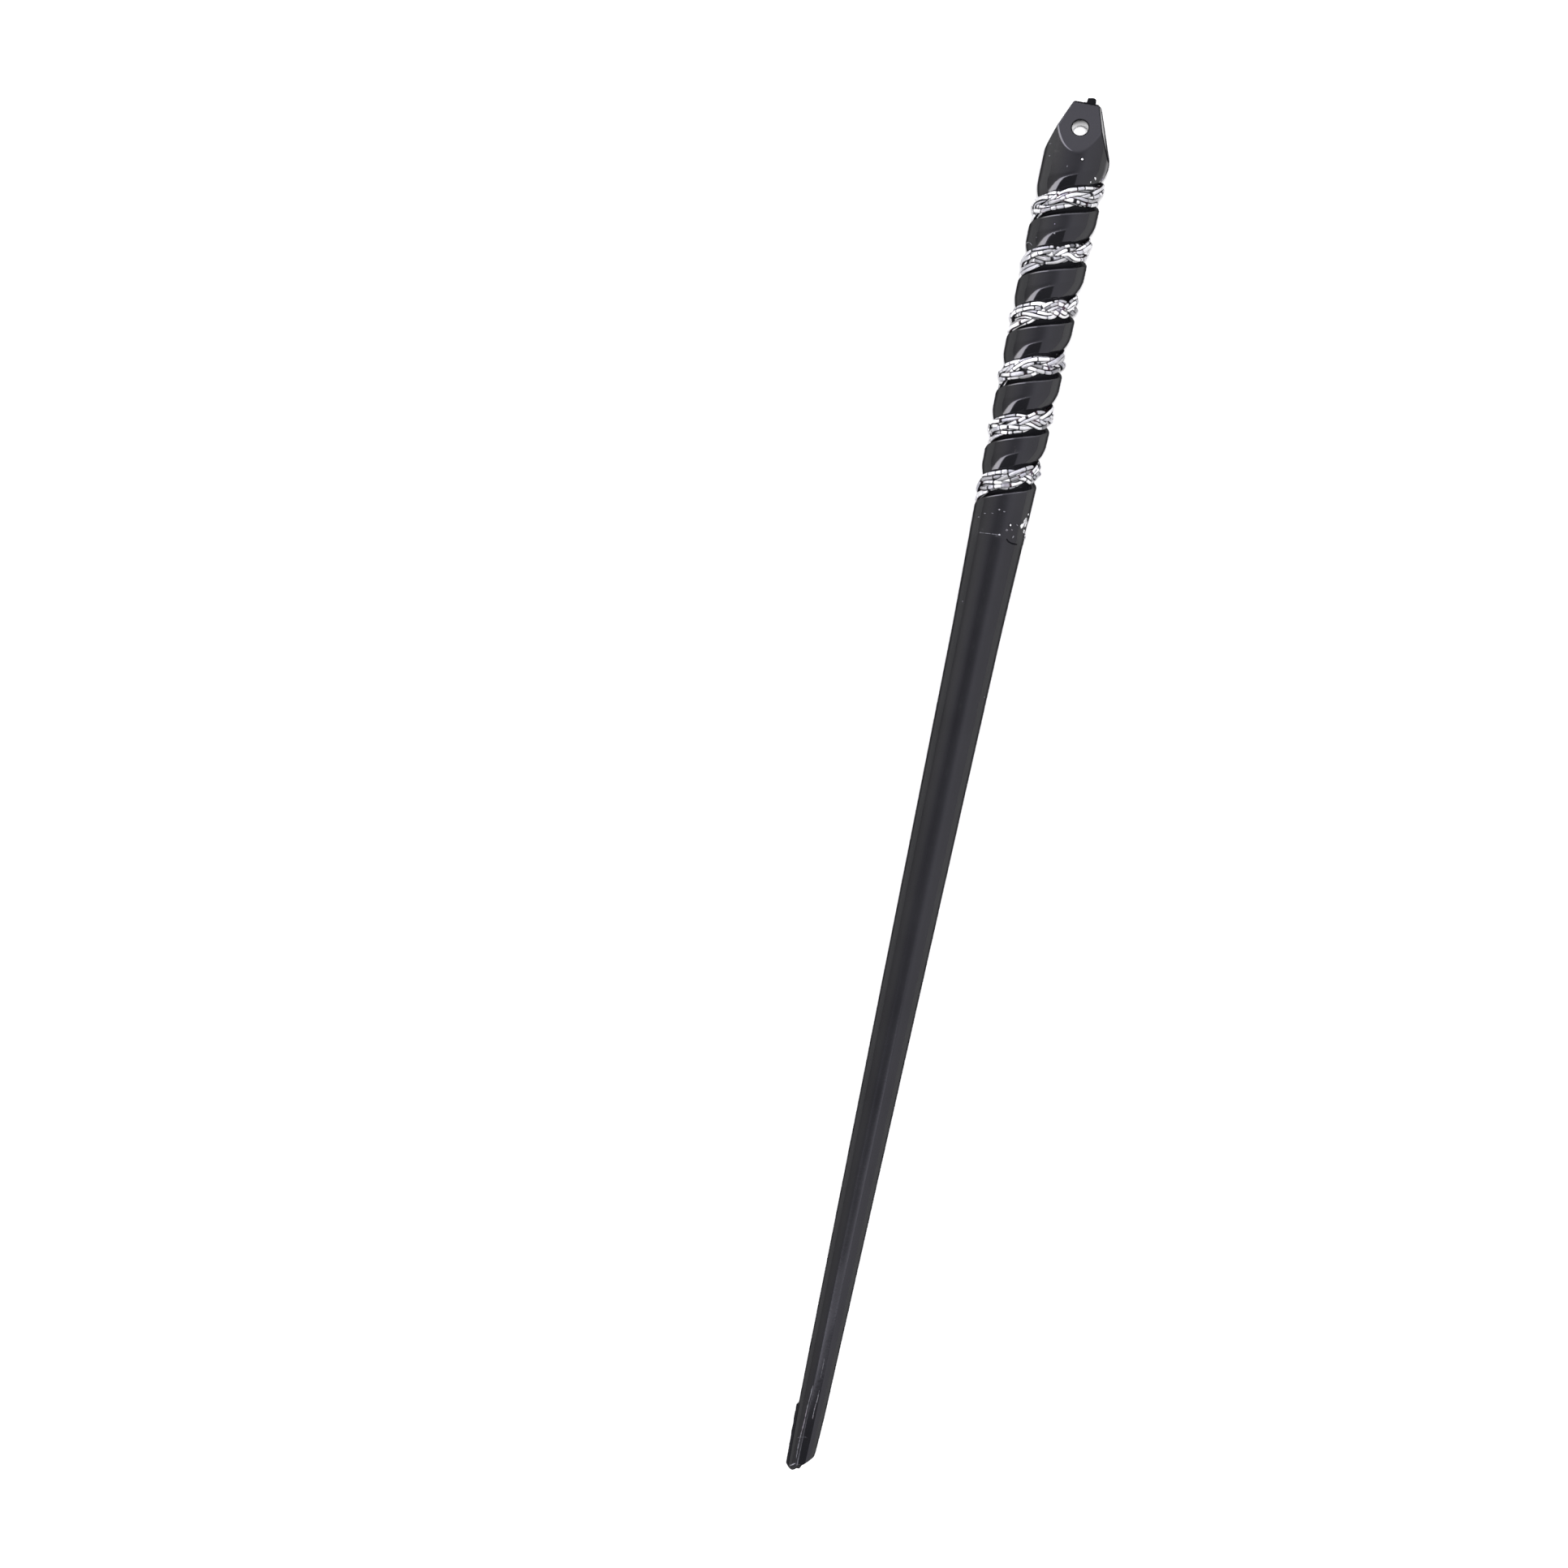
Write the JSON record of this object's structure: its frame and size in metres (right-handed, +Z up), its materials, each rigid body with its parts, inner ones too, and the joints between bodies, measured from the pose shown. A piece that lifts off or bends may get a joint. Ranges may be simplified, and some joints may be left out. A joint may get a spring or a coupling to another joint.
{
  "type": "hair stick",
  "caption": "Tapered glossy plastic hair stick with a faceted, pierced knob and a silver braid wound in the spiral groove of its handle.",
  "frame": {"origin": "on the surface it lies on, below the middle of its overall length and its axis", "axes": "+X along the stick towards the knob, +Z up out of the surface; the eye for a charm points up, 4 degrees towards +Y, and the bar leans by 1 degree so that its tip and its braid both touch the surface"},
  "size_m": [0.1808, 0.0088, 0.009],
  "materials": {
    "black_plastic": "glossy moulded black plastic with mould lines, small pits and a worn tip",
    "silver_braid": "loosely interlaced metallised silver cords"
  },
  "bodies": {
    "root": {"stick": "black_plastic", "braid_band": "silver_braid"}
  },
  "joints": []
}
